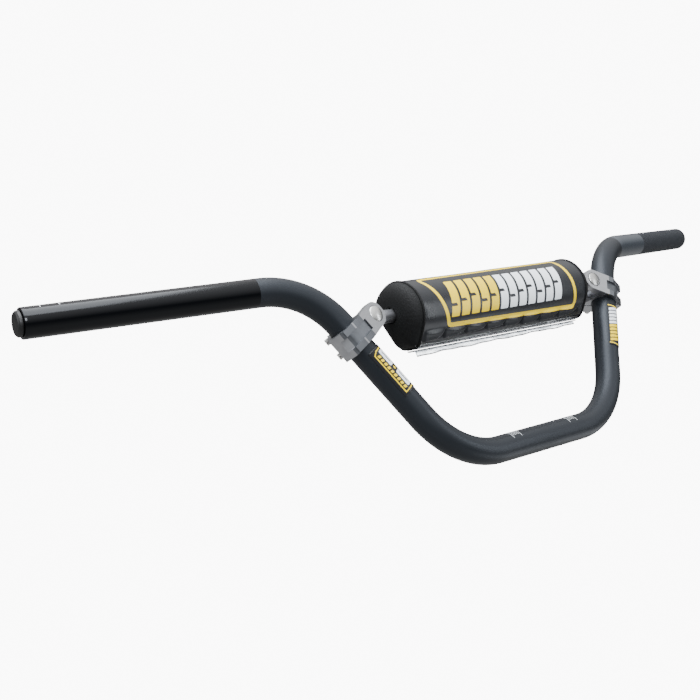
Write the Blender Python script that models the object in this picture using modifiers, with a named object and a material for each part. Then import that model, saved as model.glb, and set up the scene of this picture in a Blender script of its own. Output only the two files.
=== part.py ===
"""Braced handlebar of a small motorcycle, built as a bench assembly.

A bent alloy tube carries two split clamps on its risers. A crossbar hangs between the clamps on
two pivot pins, and a padded roll is strapped round the crossbar.

Frame: the origin is the middle of the tube's centre section, on the tube's axis. +X runs to the
clutch side, +Y towards the rider and +Z up. Blender units are metres.
"""
import bpy
import bmesh
from math import acos, asin, atan2, cos, hypot, pi, radians, sin, sqrt, tan
from mathutils import Matrix, Vector

MM = 0.001
GAP = 0.3 * MM

# Bent tube
TUBE_R = 11.1 * MM
TUBE_WALL = 3.0 * MM
TUBE_SIDES = 24
LOWER_VERTEX_X = 100.6 * MM
UPPER_VERTEX_X = 189.0 * MM
RISE_IN_PLANE = 157.6 * MM
RISE_LEAN = radians(30.1)
GRIP_REACH = 211.9 * MM
GRIP_SWEEP = 49.2 * MM
GRIP_DROP = 9.1 * MM
LOWER_BEND_R = 80.0 * MM
UPPER_BEND_R = 72.0 * MM
BEND_STEPS = 9

# End plugs
PLUG_FLANGE_R = 9.25 * MM
PLUG_FLANGE = 4.0 * MM
PLUG_STEM_R = TUBE_R - TUBE_WALL - GAP
PLUG_STEM = 18.0 * MM

# Crossbar clamps, in each clamp's own frame: x inboard, y rearward, z along the riser
CLAMP_ON_RISER = 128.8 * MM
CLAMP_HALF = 10.0 * MM
CLAMP_BORE_R = TUBE_R + 0.35 * MM
BARREL_R = 13.2 * MM
SPLIT_YOKE = -1.8 * MM
SPLIT_CAP = -2.4 * MM
LUG_REACH = 16.3 * MM
REAR_LUG_REACH = 18.8 * MM
LUG_SEAT = -13.5 * MM
LUG_INNER = 4.8 * MM
CAP_FLAT = 13.5 * MM
CAP_BACK = 14.7 * MM
TONGUE_INNER = 12.9 * MM
TONGUE_OUTER = 14.0 * MM
TONGUE_END = 0.3 * MM
PLATE_AT_AXIS = 15.9 * MM
PLATE_TAPER = 0.13
EAR_R = 10.0 * MM
REAR_EAR_R = 6.3 * MM
SLOT_HALF = 6.5 * MM
SLOT_FLOOR = 13.5 * MM
WINDOW_END = 10.2 * MM
PIN_OUT = 25.1 * MM
PIN_HOLE_R = 4.15 * MM
PIN_R = 3.85 * MM
PIN_HEAD_R = 6.4 * MM
HEAD_RECESS_R = 6.9 * MM
HEAD_RECESS_FLOOR = 10.6 * MM
HEAD_TOP = 14.2 * MM
PIN_END = 7.6 * MM
PIN_BORE_R = 2.7 * MM
PIN_BORE_END = 4.0 * MM
PIN_SCREW_R = 2.4 * MM
PIN_SCREW_HEAD_R = 4.25 * MM
PIN_SCREW_RECESS_R = 4.7 * MM
PIN_SCREW_FLOOR = 9.4 * MM
PIN_SCREW_HEAD = 2.8 * MM

# Cap screws, two socket heads on the cap's rear lugs
SCREW_ACROSS = -14.6 * MM
SCREW_R = 1.6 * MM
SCREW_HOLE_R = 1.9 * MM
SCREW_HEAD_R = 2.75 * MM
SCREW_HEAD = 3.6 * MM
SCREW_END = 2.0 * MM
SCREW_SPACING = 7.4 * MM
SOCKET_R = 1.5 * MM
SOCKET_DEPTH = 1.8 * MM

# Crossbar
CROSSBAR_R = 5.5 * MM
CROSSBAR_BORE_R = 3.95 * MM
EYE_R = 7.5 * MM
EYE_HALF = SLOT_HALF - GAP
NECK_END_X = 112.0 * MM
SPIGOT_R = CROSSBAR_BORE_R - GAP
SPIGOT = 22.0 * MM

# Pad on the crossbar: its section is a round top pulled out into a blunt nose, front and below
PAD_MIDDLE_X = 3.0 * MM
PAD_LENGTH = 212.4 * MM
PAD_BORE_R = CROSSBAR_R + GAP
PANEL_HOLE_R = 6.2 * MM
PANEL_EDGE = 6.0 * MM
COVER_WALL = 1.1 * MM
PANEL_DOME = 12.0 * MM
PANEL_RINGS = 5
FOAM_SLIT = 1.0 * MM
TAPE_WIDTH = 9.0 * MM
TAPE_THICKNESS = 0.9 * MM
FLAP_WIDTH = 13.0 * MM
FLAP_THICKNESS = 1.2 * MM
FLAP_SHIFT = 2.0 * MM

# The pad section's arcs, as centre y, centre z and radius, going round from the rear over the top
PAD_ARCS = (
    (0.0, 0.0, 26.1 * MM),
    (-13.9 * MM, -17.6 * MM, 8.0 * MM),
    (-4.2 * MM, -21.3 * MM, 7.0 * MM),
    (11.1 * MM, 4.7 * MM, 14.0 * MM),
)

# Decals on the risers
DECAL_LOW = 69.0 * MM
DECAL_HIGH = 112.5 * MM
DECAL_THICKNESS = 0.2 * MM
DECAL_ARC_THROTTLE = (radians(-40.0), radians(45.0))
DECAL_ARC_CLUTCH = (radians(-42.0), radians(30.0))

RISER_RUN = UPPER_VERTEX_X - LOWER_VERTEX_X
RISER_ANGLE = atan2(RISER_RUN, RISE_IN_PLANE)
SIDES = (("throttle_side", -1.0), ("clutch_side", 1.0))


# Scene and small helpers

def clear_scene():
    for old in list(bpy.data.objects):
        bpy.data.objects.remove(old, do_unlink=True)


def new_collection(name):
    made = bpy.data.collections.new(name)
    bpy.context.scene.collection.children.link(made)
    return made


def linear(channel):
    """One sRGB channel, 0 to 1, as linear light."""
    return channel / 12.92 if channel <= 0.04045 else ((channel + 0.055) / 1.055) ** 2.4


def make_material(name, hex_colour, metallic, roughness):
    material = bpy.data.materials.new(name)
    material.use_nodes = True
    shader = material.node_tree.nodes["Principled BSDF"]
    rgb = [linear(int(hex_colour[i:i + 2], 16) / 255.0) for i in (1, 3, 5)]
    shader.inputs["Base Color"].default_value = (*rgb, 1.0)
    shader.inputs["Metallic"].default_value = metallic
    shader.inputs["Roughness"].default_value = roughness
    return material


def add_empty(name, parent=None, location=(0, 0, 0), rotation=(0, 0, 0)):
    empty = bpy.data.objects.new(name, None)
    bar.objects.link(empty)
    empty.parent = parent
    empty.location = location
    empty.rotation_euler = rotation
    return empty


def add_object(name, data, material, parent=None, location=(0, 0, 0), rotation=(0, 0, 0)):
    piece = bpy.data.objects.new(name, data)
    bar.objects.link(piece)
    if material:
        data.materials.clear()
        data.materials.append(material)
    piece.parent = parent
    piece.location = location
    piece.rotation_euler = rotation
    return piece


def mesh_from(name, bm):
    mesh = bpy.data.meshes.new(name)
    bm.to_mesh(mesh)
    bm.free()
    return mesh


def smooth(mesh):
    mesh.shade_smooth()
    mesh.set_sharp_from_angle(angle=radians(35.0))
    return mesh


def box_mesh(name, low, high):
    """A box between two corners."""
    low, high = Vector(low), Vector(high)
    bm = bmesh.new()
    bmesh.ops.create_cube(bm, size=1.0)
    size = high - low
    bmesh.ops.scale(bm, vec=size, verts=bm.verts)
    bmesh.ops.translate(bm, vec=(low + high) / 2.0, verts=bm.verts)
    return mesh_from(name, bm)


def rod_mesh(name, radius, start, end, sides=32):
    """A cylinder from start to end."""
    start, end = Vector(start), Vector(end)
    axis = end - start
    bm = bmesh.new()
    turn = axis.to_track_quat("Z", "Y").to_matrix().to_4x4()
    bmesh.ops.create_cone(bm, cap_ends=True, segments=sides, radius1=radius, radius2=radius,
                          depth=axis.length, matrix=Matrix.Translation((start + end) / 2.0) @ turn)
    return mesh_from(name, bm)


def outline_mesh(name, outlines, half_depth):
    """Flat outlines in XY, the first one outside and the rest holes, thickened along Z."""
    curve = bpy.data.curves.new(name, "CURVE")
    curve.dimensions = "2D"
    curve.fill_mode = "BOTH"
    curve.extrude = half_depth
    for outline in outlines:
        spline = curve.splines.new("POLY")
        spline.points.add(len(outline) - 1)
        for point, (x, y) in zip(spline.points, outline):
            point.co = (x, y, 0.0, 1.0)
        spline.use_cyclic_u = True
    holder = bpy.data.objects.new(name, curve)
    bar.objects.link(holder)
    bpy.context.view_layer.update()
    evaluated = holder.evaluated_get(bpy.context.evaluated_depsgraph_get())
    mesh = bpy.data.meshes.new_from_object(evaluated)
    bpy.data.objects.remove(holder, do_unlink=True)
    bm = bmesh.new()
    bm.from_mesh(mesh)
    bmesh.ops.remove_doubles(bm, verts=bm.verts, dist=0.00001)
    bm.to_mesh(mesh)
    bm.free()
    mesh.shade_flat()
    return mesh


def turned(name, profile, material, parent=None, location=(0, 0, 0), rotation=(0, 0, 0), steps=24,
           ring=False):
    """Profile points (radius, height), listed down the outer side, turned round Z."""
    mesh = bpy.data.meshes.new(name)
    count = len(profile)
    edges = [(i, i + 1) for i in range(count - 1)]
    if ring:
        edges.append((count - 1, 0))
    mesh.from_pydata([(r, 0.0, z) for r, z in profile], edges, [])
    piece = add_object(name, mesh, material, parent, location, rotation)
    screw = piece.modifiers.new("Turn", "SCREW")
    screw.angle = 2.0 * pi
    screw.steps = steps
    screw.render_steps = steps
    screw.use_merge_vertices = True
    screw.merge_threshold = 0.00001
    return piece


def boolean(piece, mesh, operation, name):
    """Joins to, or cuts from, the piece a mesh that lies in the piece's own frame."""
    tool = bpy.data.objects.new(name, mesh)
    cutters.objects.link(tool)
    tool.parent = piece
    tool.hide_render = True
    tool.display_type = "WIRE"
    modifier = piece.modifiers.new(name, "BOOLEAN")
    modifier.operation = operation
    modifier.object = tool
    modifier.solver = "EXACT"


def cut(piece, mesh, name):
    boolean(piece, mesh, "DIFFERENCE", name)


def join(piece, mesh, name):
    boolean(piece, mesh, "UNION", name)


def arc_points(centre, radius, start, end, steps):
    """Points on an arc, both ends included."""
    angles = [start + (end - start) * i / steps for i in range(steps + 1)]
    return [(centre[0] + radius * cos(a), centre[1] + radius * sin(a)) for a in angles]


# Bent tube

def bar_vertices():
    """The corners of the tube's axis, from the throttle side's end to the clutch side's end."""
    rise_y = RISE_IN_PLANE * sin(RISE_LEAN)
    rise_z = RISE_IN_PLANE * cos(RISE_LEAN)
    half = [
        Vector((LOWER_VERTEX_X, 0.0, 0.0)),
        Vector((UPPER_VERTEX_X, rise_y, rise_z)),
        Vector((UPPER_VERTEX_X + GRIP_REACH, rise_y + GRIP_SWEEP, rise_z - GRIP_DROP)),
    ]
    return [Vector((-v.x, v.y, v.z)) for v in reversed(half)] + half


def bend(before, corner, after, radius, steps):
    """Points on the arc that rounds one corner of the axis."""
    a = (before - corner).normalized()
    b = (after - corner).normalized()
    turn = pi - a.angle(b)
    tangent = radius * tan(turn / 2.0)
    centre = corner + (a + b).normalized() * radius / cos(turn / 2.0)
    out = (corner + a * tangent - centre).normalized()
    points = []
    for i in range(steps + 1):
        angle = turn * i / steps
        points.append(centre + radius * (out * cos(angle) - a * sin(angle)))
    return points


def bar_axis():
    corners = bar_vertices()
    radii = (UPPER_BEND_R, LOWER_BEND_R, LOWER_BEND_R, UPPER_BEND_R)
    points = [corners[0]]
    for i, radius in enumerate(radii, start=1):
        points += bend(corners[i - 1], corners[i], corners[i + 1], radius, BEND_STEPS)
    return points + [corners[-1]]


def build_tube():
    """A curve with a round bevel, open at its ends, thickened inwards to the tube's wall."""
    curve = bpy.data.curves.new("handlebar_tube", "CURVE")
    curve.dimensions = "3D"
    curve.bevel_depth = TUBE_R
    curve.bevel_resolution = (TUBE_SIDES - 4) // 2
    spline = curve.splines.new("POLY")
    points = bar_axis()
    spline.points.add(len(points) - 1)
    for point, place in zip(spline.points, points):
        point.co = (*place, 1.0)
    tube = add_object("handlebar_tube", curve, black_anodised)
    wall = tube.modifiers.new("Wall", "SOLIDIFY")
    wall.thickness = TUBE_WALL
    wall.offset = -1.0
    return tube


def build_end_plug(side, sign):
    """A moulded plug: a domed flange on the tube's end and a ribbed stem in its bore."""
    end = bar_vertices()[0 if sign < 0 else -1]
    outwards = end - bar_vertices()[1 if sign < 0 else -2]
    rib = 0.5 * MM
    profile = [
        (0.0, PLUG_FLANGE + GAP),
        (0.55 * PLUG_FLANGE_R, PLUG_FLANGE + GAP),
        (PLUG_FLANGE_R - 1.2 * MM, PLUG_FLANGE),
        (PLUG_FLANGE_R, PLUG_FLANGE - 1.4 * MM),
        (PLUG_FLANGE_R, GAP),
        (PLUG_STEM_R - rib, GAP),
    ]
    for start in (3.0, 8.0, 13.0):
        profile += [
            (PLUG_STEM_R - rib, -start * MM),
            (PLUG_STEM_R, -(start + 0.8) * MM),
            (PLUG_STEM_R - rib, -(start + 3.0) * MM),
        ]
    profile += [(PLUG_STEM_R - rib, -PLUG_STEM), (0.0, -PLUG_STEM)]
    turn = outwards.to_track_quat("Z", "Y").to_euler()
    turned("bar_end_plug_" + side, profile, plug_plastic, location=end, rotation=turn)


# Clamps

def plate_face(inboard):
    """How far the clamp's plates reach from its middle plane, at a distance inboard."""
    return PLATE_AT_AXIS - PLATE_TAPER * inboard


def from_split(along, across):
    """Clamp frame x, y from a distance off the split plane and one along it, forwards.

    The split plane holds the riser's axis and lies halfway between front and outboard."""
    return ((along - across) / sqrt(2.0), -(along + across) / sqrt(2.0))


def build_yoke(side, frame):
    """Half a barrel, two tapering plates and the lugs, as one casting."""
    corner = PLATE_AT_AXIS / (1.0 + PLATE_TAPER)
    rear_x = corner + SPLIT_YOKE * sqrt(2.0) / (1.0 + PLATE_TAPER)
    reach = PIN_OUT + EAR_R + 1.0 * MM
    section = [
        from_split(SPLIT_YOKE, LUG_REACH),
        (2.5 * MM, -plate_face(2.5 * MM)),
        (reach, -plate_face(reach)),
        (reach, plate_face(reach)),
        (rear_x, plate_face(rear_x)),
    ]
    yoke = add_object("clamp_yoke_" + side, outline_mesh("yoke", [section], CLAMP_HALF),
                      cast_aluminium, frame)
    ear = arc_points((PIN_OUT, 0.0), EAR_R, -pi / 2.0, pi / 2.0, 14)
    back = -20.0 * MM
    side_view = [(back, -EAR_R - MM), (PIN_OUT - 8.0 * MM, -EAR_R - MM), *ear,
                 (PIN_OUT - 8.0 * MM, EAR_R + MM), (back, EAR_R + MM)]
    ears = outline_mesh("ear outline", [side_view], 20.0 * MM)
    ears.transform(Matrix.Rotation(pi / 2.0, 4, "X"))
    boolean(yoke, ears, "INTERSECT", "ear outline " + side)
    ear = arc_points((PIN_OUT, 0.0), REAR_EAR_R, pi / 2.0, -pi / 2.0, 12)
    trim = outline_mesh("ear trim", [[
        (SLOT_FLOOR, REAR_EAR_R), *ear, (SLOT_FLOOR, -REAR_EAR_R), (SLOT_FLOOR, -15.0 * MM),
        (45.0 * MM, -15.0 * MM), (45.0 * MM, 15.0 * MM), (SLOT_FLOOR, 15.0 * MM)]], 15.0 * MM)
    trim.transform(Matrix.Translation((0.0, 15.0 * MM, 0.0)) @ Matrix.Rotation(pi / 2.0, 4, "X"))
    cut(yoke, trim, "rear ear trim " + side)
    slot = box_mesh("slot", (SLOT_FLOOR, -SLOT_HALF, -15.0 * MM), (45.0 * MM, SLOT_HALF, 15.0 * MM))
    cut(yoke, slot, "clevis slot " + side)
    cut(yoke, rod_mesh("bore", CLAMP_BORE_R, (0, 0, -0.02), (0, 0, 0.02), 40), "tube bore " + side)
    cut(yoke, window_mesh(), "window " + side)
    cut(yoke, rod_mesh("pin hole", PIN_HOLE_R, (PIN_OUT, -0.02, 0), (PIN_OUT, 0.02, 0), 24),
        "pin hole " + side)
    cut(yoke, rod_mesh("head recess", HEAD_RECESS_R, (PIN_OUT, -0.02, 0),
                       (PIN_OUT, -HEAD_RECESS_FLOOR, 0)), "head recess " + side)
    cut(yoke, rod_mesh("screw recess", PIN_SCREW_RECESS_R, (PIN_OUT, PIN_SCREW_FLOOR, 0),
                       (PIN_OUT, 0.02, 0), 24), "screw recess " + side)
    cut(yoke, screw_holes_mesh(SPLIT_YOKE - MM, SCREW_END + GAP), "lug holes " + side)
    groove = [from_split(*p) for p in (
        (SPLIT_CAP, TONGUE_INNER - GAP), (SPLIT_CAP, TONGUE_OUTER + GAP),
        (TONGUE_END + GAP, TONGUE_OUTER + GAP), (TONGUE_END + GAP, TONGUE_INNER - GAP))]
    cut(yoke, outline_mesh("groove", [groove], 15.0 * MM), "groove " + side)


def window_mesh():
    """What is cut away between the ribs: on the front down to the barrel, and at the rear."""
    bm = bmesh.new()
    for low_y, high_y, end in ((-25.0, -1.0, WINDOW_END), (7.0, 25.0, 14.6 * MM)):
        part = box_mesh("window", (-20.0 * MM, low_y * MM, -LUG_INNER),
                        (end, high_y * MM, LUG_INNER))
        bm.from_mesh(part)
    window = bpy.data.objects.new("window", mesh_from("window", bm))
    cutters.objects.link(window)
    cut(window, rod_mesh("barrel", BARREL_R, (0, 0, -0.02), (0, 0, 0.02), 40), "barrel")
    cut(window, box_mesh("floor", (0.0, -BARREL_R, -0.01), (0.02, 0.0, 0.01)), "floor")
    bpy.context.view_layer.update()
    evaluated = window.evaluated_get(bpy.context.evaluated_depsgraph_get())
    mesh = bpy.data.meshes.new_from_object(evaluated)
    for tool in list(window.children):
        bpy.data.objects.remove(tool, do_unlink=True)
    bpy.data.objects.remove(window, do_unlink=True)
    return mesh


def screw_holes_mesh(start, end):
    """The two screw holes, as rods between two distances off the split plane."""
    bm = bmesh.new()
    for along in (SCREW_SPACING, -SCREW_SPACING):
        bm.from_mesh(rod_mesh("hole", SCREW_HOLE_R, (*from_split(start, SCREW_ACROSS), along),
                              (*from_split(end, SCREW_ACROSS), along), 20))
    return mesh_from("screw holes", bm)


def build_cap(side, frame):
    """The clamp's outer half: a tongue and two facets in front, two screw lugs at the rear."""
    section = [from_split(*p) for p in (
        (SPLIT_CAP, TONGUE_INNER), (TONGUE_END, TONGUE_INNER), (TONGUE_END, TONGUE_OUTER),
        (SPLIT_CAP, TONGUE_OUTER), (SPLIT_CAP, LUG_REACH), (-4.5 * MM, LUG_REACH),
        (-CAP_BACK, 9.6 * MM), (-CAP_BACK, -8.0 * MM), (LUG_SEAT, -11.0 * MM),
        (LUG_SEAT, -REAR_LUG_REACH), (SPLIT_CAP, -REAR_LUG_REACH))]
    cap = add_object("clamp_cap_" + side, outline_mesh("cap", [section], CLAMP_HALF + 0.4 * MM),
                     cast_aluminium, frame)
    cut(cap, rod_mesh("bore", CLAMP_BORE_R, (0, 0, -0.02), (0, 0, 0.02), 40), "cap bore " + side)
    for forward in (1.0, -1.0):
        pocket = [from_split(along * MM, forward * across)
                  for along, across in ((3.0, 0.03), (3.0, CAP_FLAT), (-11.0, CAP_FLAT),
                                        (-20.0, 3.0 * MM), (-20.0, 0.03))]
        cut(cap, outline_mesh("pocket", [pocket], LUG_INNER), "cap pocket " + side)
    cut(cap, screw_holes_mesh(LUG_SEAT - MM, 0.0), "cap holes " + side)


def build_cap_screws(side, frame):
    """Two socket-head screws through the cap's rear lugs into the yoke's."""
    seat = LUG_SEAT - GAP
    top = seat - SCREW_HEAD
    for number, along in enumerate((SCREW_SPACING, -SCREW_SPACING), start=1):
        ends = {depth: (*from_split(depth, SCREW_ACROSS), along)
                for depth in (top - MM, top, top + SOCKET_DEPTH, seat - MM, seat, SCREW_END)}
        name = "clamp_cap_screw_%s_%d" % (side, number)
        screw = add_object(name, rod_mesh("head", SCREW_HEAD_R, ends[top], ends[seat], 24),
                           bright_steel, frame)
        join(screw, rod_mesh("shank", SCREW_R, ends[seat - MM], ends[SCREW_END], 16),
             "shank %s %d" % (side, number))
        cut(screw, rod_mesh("socket", SOCKET_R, ends[top - MM], ends[top + SOCKET_DEPTH], 6),
            "socket %s %d" % (side, number))


def build_pivot(side, frame):
    """The domed sleeve that the crossbar's eye turns on, and the screw in it from the rear."""
    under = HEAD_RECESS_FLOOR + GAP
    rim = HEAD_TOP - 1.5 * MM
    dome_r = (PIN_HEAD_R ** 2 + (HEAD_TOP - rim) ** 2) / (2.0 * (HEAD_TOP - rim))
    dome_span = asin(PIN_HEAD_R / dome_r)
    dome = [(dome_r * sin(dome_span * i / 5), HEAD_TOP - dome_r * (1.0 - cos(dome_span * i / 5)))
            for i in range(6)]
    sleeve = dome + [(PIN_HEAD_R, under), (PIN_R, under), (PIN_R, -PIN_END), (PIN_BORE_R, -PIN_END),
                     (PIN_BORE_R, PIN_BORE_END), (0.0, PIN_BORE_END)]
    facing = (pi / 2.0, 0.0, 0.0)
    pin = (PIN_OUT, 0.0, 0.0)
    turned("pivot_sleeve_" + side, sleeve, bright_steel, frame, pin, facing, 32)
    seat = -PIN_SCREW_FLOOR - GAP
    head_end = seat - PIN_SCREW_HEAD
    screw = [(0.0, PIN_BORE_END - 1.0 * MM), (PIN_SCREW_R, PIN_BORE_END - 1.0 * MM),
             (PIN_SCREW_R, seat), (PIN_SCREW_HEAD_R, seat), (PIN_SCREW_HEAD_R, head_end + 0.6 * MM),
             (PIN_SCREW_HEAD_R - 0.6 * MM, head_end), (2.0 * MM, head_end),
             (2.0 * MM, head_end + 2.2 * MM), (0.0, head_end + 2.2 * MM)]
    turned("pivot_screw_" + side, screw, bright_steel, frame, pin, facing, 24)


# Crossbar

def build_crossbar(frame, pin_x):
    """An alloy tube along X, and an eye pressed into each end of it."""
    half = NECK_END_X - GAP
    ring = [(CROSSBAR_R, half), (CROSSBAR_R, -half), (CROSSBAR_BORE_R, -half),
            (CROSSBAR_BORE_R, half)]
    turned("crossbar_tube", ring, crossbar_alloy, frame, rotation=(0.0, pi / 2.0, 0.0), ring=True)
    for side, sign in SIDES:
        eye = add_object("crossbar_eye_" + side,
                         rod_mesh("eye", EYE_R, (0, -EYE_HALF, 0), (0, EYE_HALF, 0), 28),
                         cast_aluminium, frame, (sign * pin_x, 0.0, 0.0))
        neck = pin_x - NECK_END_X
        join(eye, rod_mesh("neck", CROSSBAR_R, (-sign * 5.0 * MM, 0, 0), (-sign * neck, 0, 0), 28),
             "neck " + side)
        join(eye, rod_mesh("spigot", SPIGOT_R, (-sign * (neck - 1.0 * MM), 0, 0),
                           (-sign * (neck + SPIGOT), 0, 0), 20), "spigot " + side)
        cut(eye, rod_mesh("eye hole", PIN_HOLE_R, (0, -0.02, 0), (0, 0.02, 0), 24),
            "eye hole " + side)


# Pad

def tangent_angle(first, second):
    """The direction that the line touching two circles on their outside faces, turning left."""
    dy, dz = second[0] - first[0], second[1] - first[1]
    lean = acos((first[2] - second[2]) / hypot(dy, dz))
    return atan2(dz, dy) - lean


def pad_outline(inset, steps=(14, 4, 4, 3)):
    """The pad's section as y, z points: four arcs joined by their tangents, moved in by inset."""
    count = len(PAD_ARCS)
    outline = []
    for i, (y, z, radius) in enumerate(PAD_ARCS):
        start = tangent_angle(PAD_ARCS[i - 1], PAD_ARCS[i]) if i else radians(22.9)
        end = tangent_angle(PAD_ARCS[i], PAD_ARCS[i + 1]) if i + 1 < count else radians(22.9)
        end += 2.0 * pi * (end < start)
        arc = arc_points((y, z), radius - inset, start, end, steps[i])
        outline += arc[:-1] if i + 1 == count else arc
    return outline


def nose_flat():
    """How far the nose's flat underside leans forwards, its depth, and its middle across."""
    front, rear = PAD_ARCS[1], PAD_ARCS[2]
    lean = -pi / 2.0 - tangent_angle(front, rear)
    depth = front[2] - front[0] * sin(lean) - front[1] * cos(lean)
    middle = ((front[0] + rear[0]) * cos(lean) - (front[1] + rear[1]) * sin(lean)) / 2.0
    return lean, depth, middle


def circle(radius, steps):
    """A hole's outline as y, z points."""
    return [(radius * cos(2.0 * pi * i / steps), radius * sin(2.0 * pi * i / steps))
            for i in range(steps)]


def along_x(mesh):
    """Turns an outline drawn as y, z and thickened along Z, so that it runs along X."""
    mesh.transform(Matrix(((0, 0, 1, 0), (1, 0, 0, 0), (0, 1, 0, 0), (0, 0, 0, 1))))
    return mesh


def build_pad_roll(frame):
    """The foam, slit from its bore to its nose so that it opens, and the cover round it."""
    half = PAD_LENGTH / 2.0
    foam_outline = pad_outline(COVER_WALL + GAP)
    foam = add_object("pad_foam", along_x(outline_mesh("foam", [foam_outline, circle(PAD_BORE_R, 24)],
                                                       half - GAP)), foam_black, frame)
    lean, _, _ = nose_flat()
    slit = box_mesh("slit", (-half - MM, -FOAM_SLIT / 2.0, -0.05),
                    (half + MM, FOAM_SLIT / 2.0, -0.002))
    slit.transform(Matrix.Rotation(-lean, 4, "X"))
    cut(foam, slit, "foam slit")
    cover = along_x(outline_mesh("cover", [pad_outline(0.0), pad_outline(COVER_WALL)], half - GAP))
    add_object("pad_cover", smooth(cover), printed_vinyl, frame)


def build_end_panel(side, sign, frame):
    """A domed end: rings that shrink from the pad's outline to the crossbar's hole."""
    outline = spread(pad_outline(GAP), PANEL_EDGE)
    rings = []
    for k in range(PANEL_RINGS + 1):
        inwards = k / PANEL_RINGS
        out = GAP + PANEL_DOME * sqrt(1.0 - (1.0 - inwards) ** 2)
        rings.append([hole_blend(p, inwards, out) for p in outline])
    rings.append([hole_blend(p, 1.0, GAP) for p in outline])
    bm = bmesh.new()
    rows = [[bm.verts.new((sign * x, y, z)) for x, y, z in ring] for ring in rings]
    count = len(outline)
    for k in range(len(rows)):
        row, following = rows[k], rows[(k + 1) % len(rows)]
        for i in range(count):
            j = (i + 1) % count
            bm.faces.new((row[i], row[j], following[j], following[i]))
    bmesh.ops.recalc_face_normals(bm, faces=bm.faces)
    add_object("pad_end_panel_" + side, smooth(mesh_from("end panel", bm)), panel_fabric, frame,
               (sign * PAD_LENGTH / 2.0, 0.0, 0.0))


def spread(outline, longest):
    """The closed outline with points added on its straight stretches."""
    filled = []
    for (y, z), (next_y, next_z) in zip(outline, outline[1:] + outline[:1]):
        parts = max(1, round(hypot(next_y - y, next_z - z) / longest))
        filled += [(y + (next_y - y) * i / parts, z + (next_z - z) * i / parts)
                   for i in range(parts)]
    return filled


def hole_blend(point, inwards, out):
    """A point between the pad's outline and the crossbar's hole, in the same direction."""
    distance = hypot(*point)
    y, z = point[0] * PANEL_HOLE_R / distance, point[1] * PANEL_HOLE_R / distance
    return (out, point[0] + (y - point[0]) * inwards, point[1] + (z - point[1]) * inwards)


def build_closure(frame):
    """Loop tape, hook tape and the flap over them, stacked flat under the pad's nose."""
    half = PAD_LENGTH / 2.0 - GAP
    lean, depth, middle = nose_flat()
    level = -depth - GAP
    stack = (
        ("pad_loop_tape", TAPE_WIDTH, TAPE_THICKNESS, 0.0, loop_tape),
        ("pad_hook_tape", TAPE_WIDTH, TAPE_THICKNESS, 0.0, hook_tape),
        ("pad_closure_flap", FLAP_WIDTH, FLAP_THICKNESS, -FLAP_SHIFT, clear_vinyl),
    )
    for name, width, thickness, shift, material in stack:
        centre = middle + shift
        strip = box_mesh(name, (-half, centre - width / 2.0, level - thickness),
                         (half, centre + width / 2.0, level))
        add_object(name, strip, material, frame, rotation=(-lean, 0.0, 0.0))
        level -= thickness + GAP


# Decals

def build_decal(side, frame, middle, arc):
    """A patch of film wrapped part of the way round the riser."""
    radius = TUBE_R + GAP
    half = (DECAL_HIGH - DECAL_LOW) / 2.0
    start = arc[0] - pi / 2.0
    mesh = bpy.data.meshes.new("decal")
    foot = (radius * cos(start), radius * sin(start))
    mesh.from_pydata([(*foot, middle + half), (*foot, middle - half)], [(0, 1)], [])
    decal = add_object("riser_decal_" + side, mesh, printed_film, frame)
    screw = decal.modifiers.new("Wrap", "SCREW")
    screw.angle = arc[1] - arc[0]
    screw.steps = 12
    screw.render_steps = 12
    screw.use_merge_vertices = False
    film = decal.modifiers.new("Film", "SOLIDIFY")
    film.thickness = DECAL_THICKNESS
    film.offset = 1.0


clear_scene()
bar = new_collection("braced_handlebar")
cutters = new_collection("cutters")

black_anodised = make_material("black anodised aluminium", "#2b2e34", 0.6, 0.45)
plug_plastic = make_material("black moulded plastic", "#17181b", 0.0, 0.5)
cast_aluminium = make_material("satin cast aluminium", "#9a9b9f", 1.0, 0.4)
bright_steel = make_material("bright plated steel", "#c4c4c6", 1.0, 0.25)
crossbar_alloy = make_material("drawn aluminium", "#a0a2a6", 1.0, 0.35)
foam_black = make_material("black closed-cell foam", "#141518", 0.0, 0.95)
printed_vinyl = make_material("printed black vinyl", "#1d1f23", 0.0, 0.25)
panel_fabric = make_material("black grained fabric", "#101114", 0.0, 0.8)
clear_vinyl = make_material("clear vinyl", "#b9bfc6", 0.0, 0.2)
loop_tape = make_material("black loop tape", "#15161a", 0.0, 0.95)
hook_tape = make_material("black hook tape", "#1a1b1f", 0.0, 0.7)
printed_film = make_material("printed film", "#e8c93a", 0.0, 0.3)

rise_plane = add_empty("rise_plane", rotation=(-RISE_LEAN, 0.0, 0.0))
clamp_x = LOWER_VERTEX_X + CLAMP_ON_RISER * sin(RISER_ANGLE)
clamp_height = CLAMP_ON_RISER * cos(RISER_ANGLE)
pin_x = clamp_x - PIN_OUT * cos(RISER_ANGLE)
pin_height = clamp_height + PIN_OUT * sin(RISER_ANGLE)

build_tube()
for side, sign in SIDES:
    build_end_plug(side, sign)
    turn = -RISER_ANGLE if sign < 0 else RISER_ANGLE - pi
    clamp_frame = add_empty("clamp_frame_" + side, rise_plane, (sign * clamp_x, 0.0, clamp_height),
                            (0.0, turn, 0.0))
    build_yoke(side, clamp_frame)
    build_cap(side, clamp_frame)
    build_cap_screws(side, clamp_frame)
    build_pivot(side, clamp_frame)
    below = CLAMP_ON_RISER - (DECAL_LOW + DECAL_HIGH) / 2.0
    build_decal(side, clamp_frame, sign * below,
                DECAL_ARC_THROTTLE if sign < 0 else DECAL_ARC_CLUTCH)

crossbar_frame = add_empty("crossbar_frame", rise_plane, (0.0, 0.0, pin_height))
build_crossbar(crossbar_frame, pin_x)

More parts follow.
